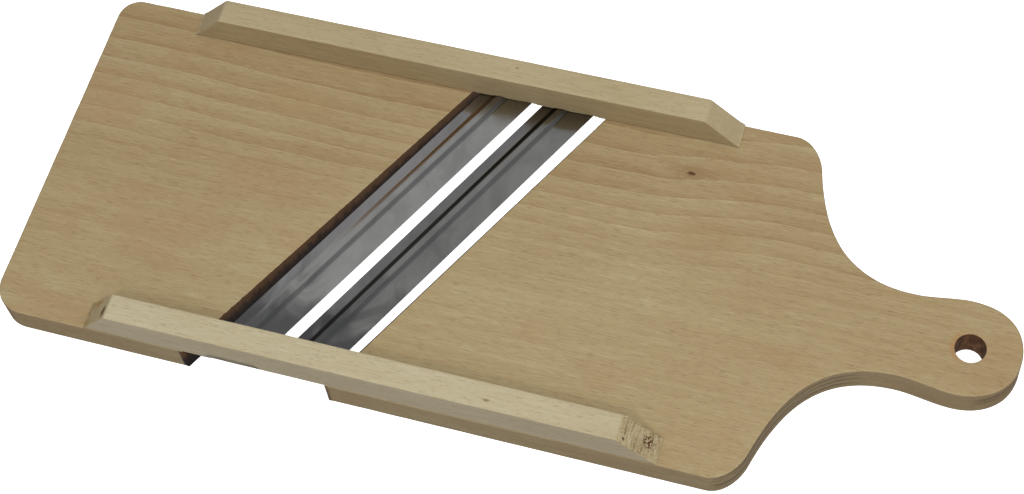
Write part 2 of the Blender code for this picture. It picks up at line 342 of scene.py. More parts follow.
def edge_profile(lower, upper):
    """(inset, height) up a board's edge, rounded by these radii at the underside and at the top."""
    profile = []
    for step in range(3):
        angle = math.pi / 4 * step
        profile.append((lower * (1 - math.sin(angle)), lower * (1 - math.cos(angle))))
    profile += [(0, height) for height in SIDE_LEVELS]
    for step in range(5):
        angle = math.pi / 8 * step
        profile.append((upper * (1 - math.cos(angle)), BOARD_TOP - upper * (1 - math.sin(angle))))
    return profile


def board_mesh(name, outline):
    """A board from its outline, with eased edges that are worn unevenly, and saw marks in its cut."""
    columns = []
    for i, point in enumerate(outline):
        arriving = (point - outline[i - 1]).normalized()
        leaving = (outline[(i + 1) % len(outline)] - point).normalized()
        first = Vector((-arriving.y, arriving.x))
        second = Vector((-leaving.y, leaving.x))
        inward = (first + second) / (1 + first.dot(second))
        wear = 0.35 * ripple(point.x * 0.05, point.y * 0.05)
        wear += 0.2 * ripple(point.x * 0.3, point.y * 0.3, 2)
        lower, upper = UNDERSIDE_EASING, max(0.5, TOP_EASING + wear)
        if on_cut(point):
            lower = upper = SAWN_EASING
        column = []
        for inset, height in edge_profile(lower, upper):
            wave = EDGE_WAVINESS * (1 + ripple(point.x * 0.12, point.y * 0.12, height * 0.2))
            place = point + inward * (inset + wave + sawn_depth(point, height))
            column.append(Vector((place.x, place.y, height)))
        columns.append(column)
    return loft(name, [list(level) for level in zip(*columns)])


def hang_hole():
    """The drilled hole with its two edges rubbed round by the hook."""
    lower_half = []
    for step in range(5):
        angle = math.pi / 8 * step
        flare = HANG_HOLE_FLARE * (1 - math.sin(angle))
        lower_half.append((HANG_HOLE_RADIUS + flare, HANG_HOLE_FLARE * (1 - math.cos(angle))))
    upper_half = [(radius, BOARD_TOP - height) for radius, height in reversed(lower_half)]
    return turned(lower_half + upper_half, Matrix.Translation((HANG_HOLE_X, 0, 0)))


# Rails


def rail_top(rail, x):
    """The rail's height at x: flat, with a slope at each end."""
    slopes = (
        RAIL_HEIGHT * (x - rail["start"]) / rail["start_run"],
        RAIL_HEIGHT * (rail["end"] - x) / rail["end_run"],
    )
    rise = min(slopes)
    into_crest = rise - RAIL_HEIGHT + CREST_EASING
    if into_crest < 2 * CREST_EASING:
        rise -= max(0.0, into_crest) ** 2 / (4 * CREST_EASING)
    return max(FEATHER_EDGE, min(rise, RAIL_HEIGHT))


def rail_stations(rail):
    """Where along x the rail's section is drawn: close together on its sloping ends."""
    start_slope = rail["start"] + rail["start_run"] + SLOPE_MARGIN
    end_slope = rail["end"] - rail["end_run"] - SLOPE_MARGIN
    stretches = (
        (rail["start"] + END_GAP, start_slope, SLOPE_STEP),
        (start_slope, end_slope, RAIL_STEP),
        (end_slope, rail["end"] - END_GAP, SLOPE_STEP),
    )
    stations = []
    for start, end, step in stretches:
        count = round((end - start) / step)
        stations += [start + (end - start) * i / count for i in range(count)]
    return stations + [rail["end"] - END_GAP]


def rail_section(rail, x):
    """The points round the rail's section at x. Where it is thin some fall together, to keep their number."""
    rise = rail_top(rail, x)
    wear = 0.12 * ripple(x * 0.25, rail["side"] * 3)
    easing = min(RAIL_EASING + wear, 0.4 * rise)
    half = RAIL_HALF_WIDTH
    slack = 0.05 * (1 + ripple(x * 0.08, rail["side"] * 7))
    columns = [half - easing - 2 * (half - easing) * i / 18 for i in range(19)]
    section = [(easing - half, 0), (half - easing, 0), (half, easing)]
    section += [(half, rise * share) for share in (0.3, 0.5, 0.7) if rise * share > easing]
    section += [(half, rise * 0.9)] * (6 - len(section))
    section += [(half, rise - easing), (half - 0.3 * easing, rise - 0.3 * easing)]
    section += [(across, rise) for across in columns]
    section += [(0.3 * easing - half, rise - 0.3 * easing), (-half, rise - easing)]
    section += [(-half, rise * share) for share in (0.7, 0.5, 0.3)] + [(-half, easing)]
    centre_y = rail["side"] * RAIL_CENTRE_Y
    narrower = 1 - slack / half
    return [Vector((x, centre_y + across * narrower, RAIL_BASE + height)) for across, height in section]


def splinter(root, tip, width):
    """A sliver of wood that tapers from its root to its tip."""
    root, tip = Vector(root), Vector(tip)
    across = (tip - root).cross(Vector((0, 0, 1))).normalized() * width / 2
    up = Vector((0, 0, width / 3))
    loops = []
    for share in (0, 0.3, 0.65, 1):
        centre = root.lerp(tip, share) + Vector((0, 0, 0.15 * math.sin(math.pi * share)))
        size = max(0.08, 1 - share ** 1.5)
        loops.append([centre + offset * size for offset in (-across, -up, across, up)])
    return loft("splinter", loops)


def rail_mesh(name, rail):
    """The whole rail, lofted through its sections."""
    return loft(name, [rail_section(rail, x) for x in rail_stations(rail)])


# Blades


def blade_matrix(blade):
    """From (across, height, y) on a blade to the board: slanted and tilted, with its ends along the rails."""
    slant = math.radians(blade["slant"])
    lay = Matrix(((1 / math.cos(slant), 0, math.tan(slant)), (0, 0, 1), (0, 1, 0))).to_4x4()
    back_edge = Matrix.Translation((blade["back_x"], 0, BOARD_TOP))
    return back_edge @ lay @ Matrix.Rotation(BLADE_TILT, 4, "Z")


def bead(across):
    """The height of the pressed bead at this distance from the back edge."""
    up = min(1.0, max(0.0, (across - BEAD_START) / (BEAD_TOP_START - BEAD_START)))
    up -= BEAD_SOFTNESS * math.sin(math.tau * up)
    return BEAD_HEIGHT * (up - ease(across, BEAD_TOP_END, BEAD_END))


def blade_mesh(name, blade):
    """The strip with its bead, its ground edge and a slight waviness from end to end."""
    matrix = blade_matrix(blade)
    first, last = blade["ends"]
    count = round((last - first) / BLADE_STEP)
    bead_width = BEAD_END - BEAD_START
    bead_points = [BEAD_START + bead_width * i / BEAD_STEPS for i in range(BEAD_STEPS + 1)]
    ground = BLADE_WIDTH - GROUND_WIDTH
    across = [0, 0.12, 2.2] + bead_points + [13, 15, ground, BLADE_WIDTH - 1.5, BLADE_WIDTH]
    loops = []
    for i in range(count + 1):
        y = first + (last - first) * i / count
        waviness = BLADE_WAVINESS * ripple(y * 0.05, blade["back_x"])
        top = []
        under = []
        for a in across:
            rounding = BACK_ROUNDING * (a == 0)
            height = bead(a) + waviness * math.sin(math.pi * a / BLADE_WIDTH) - rounding
            thinned = (BLADE_THICKNESS - EDGE_THICKNESS) * ease(a, ground, BLADE_WIDTH)
            top.append((a, height))
            under.append((a, height - BLADE_THICKNESS + thinned + 2 * rounding))
        section = top + under[::-1]
        loops.append([matrix @ Vector((a, height, y)) for a, height in section])
    return loft(name, loops)


def pocket_mesh(blade):
    """The slot that a blade's end sits in: its own section with clearance, open below."""
    gap = HOLE_GAP
    front = BLANK_WIDTH + 4 * gap
    section = [(-gap, gap), (BEAD_START - gap, gap), (BEAD_START + POCKET_FLANK, gap + BEAD_HEIGHT)]
    section += [(BEAD_END - POCKET_FLANK, gap + BEAD_HEIGHT), (BEAD_END + gap, gap)]
    section += [(front, gap), (front, -1), (-gap, -1)]
    matrix = blade_matrix(blade)
    ends = blade["pocket"]
    loops = [[matrix @ Vector((a, height, y)) for a, height in section] for y in ends]
    return loft("pocket", loops)


# Holes for the fasteners


def screw_hole(x, y):
    """A countersunk hole up through the board and into the rail, a little larger than the screw."""
    head = SCREW_HEAD_RADIUS + HOLE_GAP
    shank = SCREW_SHANK_RADIUS + HOLE_GAP
    profile = [
        (head, -2 * SCREW_RECESS),
        (head, HOLE_GAP),
        (shank, SCREW_HEAD_RADIUS - SCREW_SHANK_RADIUS + HOLE_GAP),
        (shank, SCREW_LENGTH - SCREW_TIP + HOLE_GAP),
        (0, SCREW_LENGTH + HOLE_GAP),
    ]
    return turned(profile, Matrix.Translation((x, y, SCREW_RECESS)))


def nail_hole(blade, across, y):
    """A hole square to the blade, up into the rail, a little larger than the nail."""
    slant = math.radians(blade["slant"])
    lean = math.sin(BLADE_TILT)
    normal = Vector((-lean * math.cos(slant), lean * math.sin(slant), math.cos(BLADE_TILT)))
    at = blade_matrix(blade) @ Vector((across, 0, y)) - normal * (BLADE_THICKNESS + HOLE_GAP)
    radius = NAIL_SHANK_RADIUS + HOLE_GAP
    top = NAIL_LENGTH + HOLE_GAP
    profile = [(radius, -BLADE_THICKNESS), (radius, top - NAIL_TIP), (0, top)]
    upright = normal.to_track_quat("Z", "Y").to_matrix().to_4x4()
    return turned(profile, Matrix.Translation(at) @ upright)


def fastener_holes():
    """Every screw's and nail's hole, as one cutter."""
    holes = []
    for rail_name in RAILS:
        screws = [f"{rail_name}_screw_{number}" for number in range(1, SCREWS_PER_RAIL + 1)]
        holes += [screw_hole(middle(screw, 0), middle(screw, 1)) for screw in screws]
    for blade in BLADES.values():
        holes += [nail_hole(blade, across, side * NAIL_Y) for side in (-1, 1) for across in NAIL_ACROSS]
    return joined("fastener_holes", holes)


# Materials


def paint(red, green, blue):
    """A colour as it looks on screen, 0 to 255, turned into the linear colour that shaders take."""
    values = [channel / 255 for channel in (red, green, blue)]
    linear = [v / 12.92 if v <= 0.04045 else ((v + 0.055) / 1.055) ** 2.4 for v in values]
    return (*linear, 1)


# Marks on the wood, each an oval: x and y of its middle, half its length and half its width
TAN_PATCH = (97, 48, 30, 13)
NEAR_FLECK = (71.5, -66.8, 1.6, 1.0)
BROWN_PATCH = (290, 24, 26, 15)
KNOT = (276.6, 53.3, 3.0, 1.3)
KNOT_SHADOW = (277, 54, 13, 5)
KNOT_SWIRL = (277, 58, 24, 10)
YELLOW_CORNER = (49.5, -72.5, 3.5, 2.5)
BRUISE = (55.2, -78.4, 1.5, 3.6)
TORN_FOOT = (291.4, -75.4, 3.6, 4.8)
TORN_CREST = (282.0, -78.6, 1.1, 4.0)
TORN_SIDE = (288.5, -81.6, 1.2, 0.9)
NEAR_RAIL_MARK = (224.5, -78.4, 2.2, 0.9)
FAR_RAIL_MARK = (192, 78, 1.2, 0.7)

# Painted shade: these colours darken the sides of the boards and rails, for the weaker light that falls on
# them
BOARD_SIDE_PAINTED_SHADE = (0.87, 0.86, 0.88, 1)
NEAR_RAIL_PAINTED_SIDE_SHADE = (0.98, 0.96, 1.0, 1)
# The far rail's sides get the darkest painted shade, for the shade on its inner face above the board
FAR_RAIL_PAINTED_SIDE_SHADE = (0.88, 0.84, 0.8, 1)
STEEL_TONES = ((0.2, (0.36, 0.365, 0.36)), (0.5, (0.5, 0.505, 0.485)), (0.8, (0.6, 0.6, 0.58)))


class Graph:
    """Builds one material's nodes. Places are in millimetres from the board's square end."""

    def __init__(self, name):
        self.material = bpy.data.materials.new(name)
        self.material.use_nodes = True
        self.tree = self.material.node_tree
        self.shader = self.tree.nodes["Principled BSDF"]
        coordinates = self.add("ShaderNodeTexCoord").outputs["Object"]
        scaled = self.add("ShaderNodeMapping", Vector=coordinates)
        scaled.inputs["Scale"].default_value = (1000, 1000, 1000)
        scaled.inputs["Location"].default_value = (LENGTH / 2, 0, 0)
        self.place = scaled.outputs[0]
        self.x, self.y, self.z = self.add("ShaderNodeSeparateXYZ", Vector=self.place).outputs
        normal = self.add("ShaderNodeNewGeometry").outputs["Normal"]
        facing = self.add("ShaderNodeSeparateXYZ", Vector=normal).outputs
        self.along = self.math("ABSOLUTE", facing[0])
        self.up = self.math("ABSOLUTE", facing[2])
        self.side = self.between(self.up, 0.8, 0.45)

    def add(self, kind, **inputs):
        """A new node with these inputs, each a socket or a value."""
        node = self.tree.nodes.new(kind)
        for name, value in inputs.items():
            self.feed(node.inputs[name], value)
        return node

    def feed(self, socket, value):
        if isinstance(value, bpy.types.NodeSocket):
            self.tree.links.new(value, socket)
        else:
            socket.default_value = value

    def math(self, operation, *values):
        """The outcome of one calculation on sockets or numbers."""
        node = self.tree.nodes.new("ShaderNodeMath")
        node.operation = operation
        for socket, value in zip(node.inputs, values):
            self.feed(socket, value)
        return node.outputs[0]

    def between(self, value, low, high):
        """0 at low, 1 at high, smooth between; low may be the larger one."""
        node = self.tree.nodes.new("ShaderNodeMapRange")
        node.interpolation_type = "SMOOTHSTEP"
        self.feed(node.inputs["Value"], value)
        node.inputs["From Min"].default_value = min(low, high)
        node.inputs["From Max"].default_value = max(low, high)
        node.inputs["To Min"].default_value = float(low > high)
        node.inputs["To Max"].default_value = float(low < high)
        return node.outputs[0]

    def stretched(self, x, y, z):
        """The place with each axis scaled, so that a noise has features about 1/x, 1/y and 1/z mm long."""
        node = self.tree.nodes.new("ShaderNodeVectorMath")
        node.operation = "MULTIPLY"
        self.feed(node.inputs[0], self.place)
        node.inputs[1].default_value = (x, y, z)
        return node.outputs[0]

    def noise(self, x, y, z, detail=2.0, distortion=0.0):
        """Noise from 0 to 1, stretched along each axis."""
        node = self.add("ShaderNodeTexNoise", Vector=self.stretched(x, y, z))
        node.inputs["Scale"].default_value = 1.0
        node.inputs["Detail"].default_value = detail
        node.inputs["Distortion"].default_value = distortion
        return node.outputs["Fac"]

    def cells(self, x, y, z):
        """Distance from the middle of the nearest of many scattered cells."""
        node = self.add("ShaderNodeTexVoronoi", Vector=self.stretched(x, y, z))
        node.inputs["Scale"].default_value = 1.0
        return node.outputs["Distance"]

    def ramp(self, factor, stops):
        """A colour that changes with the factor, through (position, colour) stops."""
        node = self.add("ShaderNodeValToRGB", Fac=factor)
        elements = node.color_ramp.elements
        while len(elements) < len(stops):
            elements.new(0.5)
        for element, (position, colour) in zip(elements, stops):
            element.position = position
            element.color = colour
        return node.outputs["Color"]

    def mix(self, factor, first, second, blend="MIX"):
        node = self.tree.nodes.new("ShaderNodeMix")
        node.data_type = "RGBA"
        node.blend_type = blend
        self.feed(node.inputs["Factor"], factor)
        self.feed(node.inputs[6], first)
        self.feed(node.inputs[7], second)
        return node.outputs[2]

    def tinted(self, colour, mask, strength, tint, blend="MIX"):
        """The colour with this much of a tint laid over it where the mask is 1."""
        return self.mix(self.math("MULTIPLY", mask, strength), colour, tint, blend)

    def product(self, *masks):
        """All of the masks multiplied together."""
        result = masks[0]
        for mask in masks[1:]:
            result = self.math("MULTIPLY", result, mask)
        return result

    def total(self, *parts):
        """All of the values added together."""
        result = parts[0]
        for part in parts[1:]:
            result = self.math("ADD", result, part)
        return result

    def hypotenuse(self, first, second):
        """How far a point is from the middle, from its distances along two axes."""
        return self.math("SQRT", self.total(self.product(first, first), self.product(second, second)))

    def weighed(self, value, weight):
        """The value about its middle of 0.5, times a weight."""
        return self.math("MULTIPLY", self.math("SUBTRACT", value, 0.5), weight)

    def spot(self, x, y, length, width):
        """1 in the middle of an oval on the top face, 0 outside it."""
        across = self.math("DIVIDE", self.math("SUBTRACT", self.x, x), length)
        up = self.math("DIVIDE", self.math("SUBTRACT", self.y, y), width)
        ragged = self.weighed(self.noise(0.5, 1.2, 0.5), 0.9)
        return self.between(self.total(self.hypotenuse(across, up), ragged), 1.0, 0.25)

    def bump(self, height, strength, distance):
        """Makes the surface look raised where height is large, up to a distance in millimetres."""
        node = self.add("ShaderNodeBump", Height=height)
        node.inputs["Strength"].default_value = strength
        node.inputs["Distance"].default_value = distance * MM
        self.tree.links.new(node.outputs["Normal"], self.shader.inputs["Normal"])


WOOD_GLOSS = 0.16
GRAIN_DEPTH = 0.14

# Growth rings: where the tree's pith was, how far from it a ring starts, how far apart the rings are,
# and how light the wood is from one ring to the next
PITH_Y = 132
PITH_Z = 146
RING_START = 144.3
RING_SPACING = 5.2
RING_TONES = ((0.0, 0.4), (0.02, 1.0), (0.06, 0.68), (0.35, 0.6), (0.8, 0.4), (0.97, 0.26), (1.0, 0.4))


def growth_rings(graph):
    """Bands round a distant pith: a pale line, then wood that slowly darkens towards the next line."""
    wander = graph.weighed(graph.noise(0.011, 0.02, 0.02, detail=1), 4.0)
    rise = graph.math("MULTIPLY", graph.between(graph.x, 258, 325), 8.5)
    dip = graph.math("MULTIPLY", graph.between(graph.x, 10, 110), -2.0)
    swirl = graph.math("MULTIPLY", graph.spot(*KNOT_SWIRL), 2.5)
    y = graph.math("SUBTRACT", graph.y, graph.total(wander, rise, dip, swirl))
    radius = graph.hypotenuse(graph.math("SUBTRACT", y, PITH_Y), graph.math("SUBTRACT", graph.z, PITH_Z))
    ring = graph.math("DIVIDE", graph.math("SUBTRACT", radius, RING_START), RING_SPACING)
    phase = graph.math("FRACT", ring)
    return graph.ramp(phase, [(position, (grey, grey, grey, 1)) for position, grey in RING_TONES])


def wood_figure(graph, ring_weight):
    """How light the wood is, about 0.5: its streaks, fibres and patches, and rings towards the far side."""
    streaks = graph.noise(0.014, 0.5, 0.5, detail=3)
    fibres = graph.noise(0.1, 2.4, 2.4, detail=3)
    patches = graph.noise(0.012, 0.03, 0.03, detail=2)
    along_grain = (graph.weighed(streaks, 0.34), graph.weighed(fibres, 0.62))
    tone = graph.total(0.5, *along_grain, graph.weighed(patches, 0.35))
    if ring_weight:
        towards_far_side = graph.between(graph.y, -12, 42)
        strength = graph.math("ADD", graph.math("MULTIPLY", towards_far_side, 0.92), 0.08)
        rings = graph.weighed(growth_rings(graph), ring_weight)
        tone = graph.math("ADD", tone, graph.product(rings, strength))
    return tone


def flecks(graph, length, width, low, high):
    """Short dashes along the grain."""
    return graph.between(graph.noise(1 / length, 1 / width, 1 / width, detail=1), low, high)


def finish_wood(graph, colour, tone, dashes, roughness, bump_strength):
    """Joins the colour to the shader, with a dull gloss and a grain that can be felt."""
    pores = graph.noise(0.35, 4.5, 4.5, detail=2)
    pits = graph.math("MULTIPLY", dashes, -0.5)
    grain = graph.total(graph.weighed(pores, 0.7), graph.weighed(tone, 0.8), pits)
    graph.tree.links.new(colour, graph.shader.inputs["Base Color"])
    rough = graph.math("ADD", graph.weighed(graph.noise(0.06, 0.4, 0.4, detail=3), 0.3), roughness)
    graph.tree.links.new(rough, graph.shader.inputs["Roughness"])
    graph.shader.inputs["Specular IOR Level"].default_value = WOOD_GLOSS
    graph.bump(grain, bump_strength, GRAIN_DEPTH)
    return graph.material


def end_grain_layers(graph, colour):
    """Grey and tan layers where the outline cuts across the fibres."""
    cut_across = graph.product(graph.side, graph.between(graph.along, 0.12, 0.5))
    layers = graph.between(graph.noise(0.012, 0.012, 0.5, detail=2), 0.46, 0.58)
    speckle = graph.weighed(graph.noise(1.3, 1.3, 1.3, detail=3), 0.9)
    darkening = graph.total(graph.math("MULTIPLY", layers, 0.55), speckle, 0.1)
    return graph.mix(graph.product(cut_across, darkening), colour, paint(98, 82, 59))


def board_base(graph):
    """Beech with faint rings, reddish patches, flecks and paler worn edges, and painted shade on its sides,
    as (colour, tone, dashes).
    """
    tone = wood_figure(graph, 0.5)
    slow = graph.math("MULTIPLY", graph.between(graph.x, 60, 300), 0.03)
    nearer = graph.math("MULTIPLY", graph.between(graph.y, 75, -60), 0.1)
    edge = graph.product(graph.between(graph.up, 0.25, 0.5), graph.between(graph.up, 0.985, 0.85))
    tone = graph.total(tone, slow, nearer, graph.math("MULTIPLY", edge, 0.1), -0.06)
    stops = (
        (0.1, paint(142, 113, 77)),
        (0.4, paint(162, 139, 102)),
        (0.62, paint(172, 154, 116)),
        (0.95, paint(192, 178, 142)),
    )
    colour = graph.ramp(tone, stops)
    reddish = graph.between(graph.noise(0.02, 0.035, 0.035, detail=3), 0.52, 0.68)
    colour = graph.tinted(colour, reddish, 0.36, paint(165, 133, 97))
    dashes = flecks(graph, 5.0, 0.34, 0.59, 0.7)
    dots = graph.between(graph.noise(0.5, 0.9, 0.9, detail=2), 0.63, 0.75)
    colour = graph.tinted(colour, dashes, 0.4, paint(128, 100, 64))
    colour = graph.tinted(colour, dots, 0.16, paint(138, 106, 76))
    pale = flecks(graph, 5, 0.45, 0.66, 0.76)
    colour = graph.tinted(colour, pale, 0.3, paint(198, 184, 150))
    # Painted shade: the board's sides are darkened
    colour = graph.mix(graph.side, colour, BOARD_SIDE_PAINTED_SHADE, "MULTIPLY")
    return colour, tone, dashes


def end_board_material():
    """Beech with a tan patch and a fleck, and its cut face painted dark brown, darkening to near black lower
    down as painted shade beneath the blade.
    """
    graph = Graph("beech_end_board")
    colour, tone, dashes = board_base(graph)
    colour = graph.tinted(colour, graph.spot(*TAN_PATCH), 0.3, paint(160, 130, 88))
    colour = graph.tinted(colour, graph.spot(*NEAR_FLECK), 0.8, paint(100, 72, 50))
    colour = end_grain_layers(graph, colour)
    lean = graph.math("MULTIPLY", graph.y, END_CUT_LEAN)
    from_cut = graph.math("SUBTRACT", graph.math("ADD", lean, END_CUT_X), graph.x)
    # The cut face: dark brown wood at the top, then painted shade that darkens it to near black lower down,
    # for the blade's shadow in the narrow gap
    cut_face = graph.product(graph.between(from_cut, 2.6, 1.4), graph.between(graph.up, 0.7, 0.3))
    lower_down = graph.between(graph.z, BOARD_TOP, 2)
    cut_shade_factor = graph.total(lower_down, graph.weighed(graph.noise(0.3, 0.5, 0.15, detail=3), 0.9))
    cut_shade_stops = ((0.15, paint(92, 64, 38)), (0.5, paint(54, 35, 22)), (0.9, paint(24, 16, 11)))
    painted_cut_shade = graph.ramp(cut_shade_factor, cut_shade_stops)
    colour = graph.mix(cut_face, colour, painted_cut_shade)
    return finish_wood(graph, colour, tone, dashes, 0.6, 0.5)


def handle_board_material():
    """Beech with a brown patch and a knot, a lightly scorched cut, and grime in the hanging hole."""
    graph = Graph("beech_handle_board")
    colour, tone, dashes = board_base(graph)
    colour = graph.tinted(colour, graph.spot(*BROWN_PATCH), 0.3, paint(158, 128, 90))
    colour = graph.tinted(colour, graph.spot(*KNOT_SHADOW), 0.45, paint(140, 108, 74))
    colour = graph.mix(graph.spot(*KNOT), colour, paint(84, 58, 40))
    colour = end_grain_layers(graph, colour)
    lean = graph.math("MULTIPLY", graph.y, HANDLE_CUT_LEAN)
    from_cut = graph.math("SUBTRACT", graph.x, graph.math("ADD", lean, HANDLE_CUT_X))
    sawn = graph.product(graph.between(from_cut, 2.2, 1.2), graph.between(graph.up, 0.7, 0.3))
    colour = graph.tinted(colour, sawn, 0.7, paint(96, 72, 50))
    radius = graph.hypotenuse(graph.math("SUBTRACT", graph.x, HANG_HOLE_X), graph.y)
    rim = graph.product(graph.between(radius, 9.5, 7.4), graph.between(graph.x, 408, 401))
    colour = graph.tinted(colour, rim, 0.45, paint(168, 118, 68))
    inside = graph.product(graph.between(radius, 7.5, 7.0), graph.between(graph.up, 0.9, 0.4))
    grime = graph.noise(0.4, 0.4, 0.25, detail=3)
    grime_stops = ((0.3, paint(74, 44, 26)), (0.55, paint(122, 84, 52)), (0.8, paint(164, 124, 84)))
    colour = graph.mix(inside, colour, graph.ramp(grime, grime_stops))
    return finish_wood(graph, colour, tone, dashes, 0.6, 0.5)


def rail_base(graph, stops, painted_side_shade):
    """Paler beech, straight grained, with short dark flecks, and painted shade on its sides."""
    tone = wood_figure(graph, 0)
    colour = graph.ramp(tone, stops)
    dashes = flecks(graph, 3.0, 0.34, 0.62, 0.72)
    colour = graph.tinted(colour, dashes, 0.38, paint(132, 108, 76))
    # Painted shade: the rail's sides are darkened
    colour = graph.mix(graph.side, colour, painted_side_shade, "MULTIPLY")
    return colour, tone, dashes


def left_slope_stains(graph, colour):
    """The near rail's left slope: duller, with a bruise by its crest and yellow stains along its foot."""
    slope = graph.product(graph.between(graph.x, 57.6, 56.4), graph.between(graph.up, 0.1, 0.35))
    colour = graph.mix(slope, colour, (0.86, 0.81, 0.72, 1), "MULTIPLY")
    patchy = graph.between(graph.noise(0.2, 0.25, 0.2), 0.35, 0.65)
    foot = graph.product(slope, graph.between(graph.z, 24, 16), patchy)
    colour = graph.tinted(colour, foot, 0.6, paint(152, 124, 72))
    corner = graph.product(slope, graph.spot(*YELLOW_CORNER))
    colour = graph.tinted(colour, corner, 0.7, paint(156, 122, 62))
    bruise = graph.product(slope, graph.spot(*BRUISE))
    return graph.tinted(colour, bruise, 0.9, paint(82, 56, 38))


def torn_slope(graph, colour):
    """The near rail's torn right slope: lines across it, and dark holes by its crest and its foot, whose
    darkness is painted shade.
    """
    slope = graph.product(graph.between(graph.x, 279, 280.6), graph.between(graph.up, 0.1, 0.35))
    lines = graph.weighed(graph.noise(1.1, 0.13, 1.1, detail=3), 1.0)
    grit = graph.weighed(graph.noise(1.2, 1.4, 1.2, detail=3), 0.6)
    stops = (
        (0.28, paint(118, 93, 61)),
        (0.42, paint(158, 138, 102)),
        (0.6, paint(178, 162, 127)),
        (0.85, paint(201, 188, 156)),
    )
    torn_wood = graph.ramp(graph.total(lines, grit, 0.52), stops)
    colour = graph.tinted(colour, slope, 0.9, torn_wood)
    # Painted shade: small dark spots stand for the torn wood's holes, which the mesh does not have
    holes = graph.between(graph.cells(1.15, 1.0, 0.2), 0.56, 0.34)
    foot = graph.spot(*TORN_FOOT)
    crest = graph.spot(*TORN_CREST)
    side = graph.spot(*TORN_SIDE)
    where = graph.math("MAXIMUM", graph.math("MAXIMUM", foot, crest), side)
    return graph.mix(graph.product(holes, slope, where), colour, paint(70, 34, 22))


def near_rail_material():
    """Pale beech with one mark, and each sloping end in its own state."""
    graph = Graph("beech_near_rail")
    stops = ((0.1, paint(164, 148, 115)), (0.45, paint(185, 173, 141)), (0.9, paint(205, 196, 166)))
    colour, tone, dashes = rail_base(graph, stops, NEAR_RAIL_PAINTED_SIDE_SHADE)
    mark = graph.spot(*NEAR_RAIL_MARK)
    colour = graph.tinted(colour, mark, 0.7, paint(118, 88, 58))
    colour = left_slope_stains(graph, colour)
    colour = torn_slope(graph, colour)
    return finish_wood(graph, colour, tone, dashes, 0.62, 0.6)


def far_rail_material():
    """Slightly darker beech with one mark."""
    graph = Graph("beech_far_rail")
    stops = ((0.1, paint(153, 133, 97)), (0.45, paint(175, 159, 124)), (0.9, paint(196, 183, 150)))
    colour, tone, dashes = rail_base(graph, stops, FAR_RAIL_PAINTED_SIDE_SHADE)
    colour = graph.tinted(colour, graph.spot(*FAR_RAIL_MARK), 0.7, paint(110, 84, 56))
    return finish_wood(graph, colour, tone, dashes, 0.6, 0.5)


def blade_material(name, blade, painted_reflection_level, flank_reflection_strength, flank_reflection_colour, flank_reflection_fades):
    """Rolled and polished strip: fine scratches and soft smudges, with painted reflections: a level for each
    blade, a brown or near black one on the bead's first flank and a dark one on its second.
    """
    graph = Graph("polished_" + name)
    slant = math.radians(blade["slant"])
    lean = graph.math("MULTIPLY", graph.y, math.tan(slant))
    from_back = graph.math("SUBTRACT", graph.math("SUBTRACT", graph.x, blade["back_x"]), lean)
    across = graph.math("MULTIPLY", from_back, math.cos(slant))
    smudges = graph.noise(0.06, 0.04, 0.3, detail=4, distortion=0.8)
    scratches = graph.noise(0.5, 0.25, 3.0, detail=3)
    tone = graph.total(graph.weighed(smudges, 0.9), graph.weighed(scratches, 0.2), 0.5)
    # Painted reflection: each blade's steel colours are scaled by its own level, the front blade's darker for
    # the darker reflection it shows
    stops = []
    for position, channels in STEEL_TONES:
        stops.append((position, (*(channel * painted_reflection_level for channel in channels), 1)))
    colour = graph.ramp(tone, stops)
    # The blade darkens towards its near end
    darker_near_end = graph.between(graph.math("ADD", graph.y, graph.weighed(smudges, 60)), -26, -60)
    colour = graph.tinted(colour, darker_near_end, 0.8, (0.1, 0.1, 0.106, 1))
    back_strip = graph.between(across, 4.6, 4.2)
    colour = graph.mix(back_strip, colour, (0.84, 0.81, 0.85, 1), "MULTIPLY")
    # Painted reflection on the bead's first flank: brown on the rear blade, near black on the front one
    first_flank = graph.product(graph.between(across, 4.3, 4.9), graph.between(across, 7.3, 6.6))
    flank_reflection = graph.math("MULTIPLY", first_flank, flank_reflection_strength)
    if flank_reflection_fades:
        ragged_y = graph.math("ADD", graph.y, graph.weighed(smudges, 40))
        flank_reflection = graph.product(flank_reflection, graph.between(ragged_y, -22, 12))
    colour = graph.mix(flank_reflection, colour, flank_reflection_colour)
    # Painted reflection: the bead's second flank is darkened, as it mirrors a dark part of the room
    second_flank = graph.product(graph.between(across, 9.2, 9.9), graph.between(across, 12.2, 10.9))
    colour = graph.tinted(colour, second_flank, 0.62, (0.11, 0.115, 0.118, 1))
    far_end = graph.between(graph.math("ADD", graph.y, graph.weighed(smudges, 24)), 54, 72)
    colour = graph.tinted(colour, far_end, 0.85, (0.34, 0.3, 0.27, 1), "MULTIPLY")
    graph.tree.links.new(colour, graph.shader.inputs["Base Color"])
    hazy = graph.math("MULTIPLY", far_end, 0.16)
    rough = graph.total(0.1, hazy, graph.math("MULTIPLY", graph.between(smudges, 0.4, 0.7), 0.12))
    graph.tree.links.new(rough, graph.shader.inputs["Roughness"])
    graph.shader.inputs["Metallic"].default_value = 1.0
    graph.bump(graph.total(scratches, smudges), 0.05, 0.05)
    return graph.material


def fastener_material(name, bright, dull, roughness):
    """Plain metal with dull patches."""
    graph = Graph(name)
    patches = graph.noise(0.6, 0.6, 0.6, detail=4)
    colour = graph.ramp(patches, ((0.3, dull), (0.65, bright)))
    graph.tree.links.new(colour, graph.shader.inputs["Base Color"])
    rough = graph.math("ADD", graph.weighed(graph.noise(1.5, 1.5, 1.5, detail=3), 0.3), roughness)
    graph.tree.links.new(rough, graph.shader.inputs["Roughness"])
    graph.shader.inputs["Metallic"].default_value = 1.0
    graph.bump(patches, 0.25, 0.06)
    return graph.material


# Pieces

holes = fastener_holes()

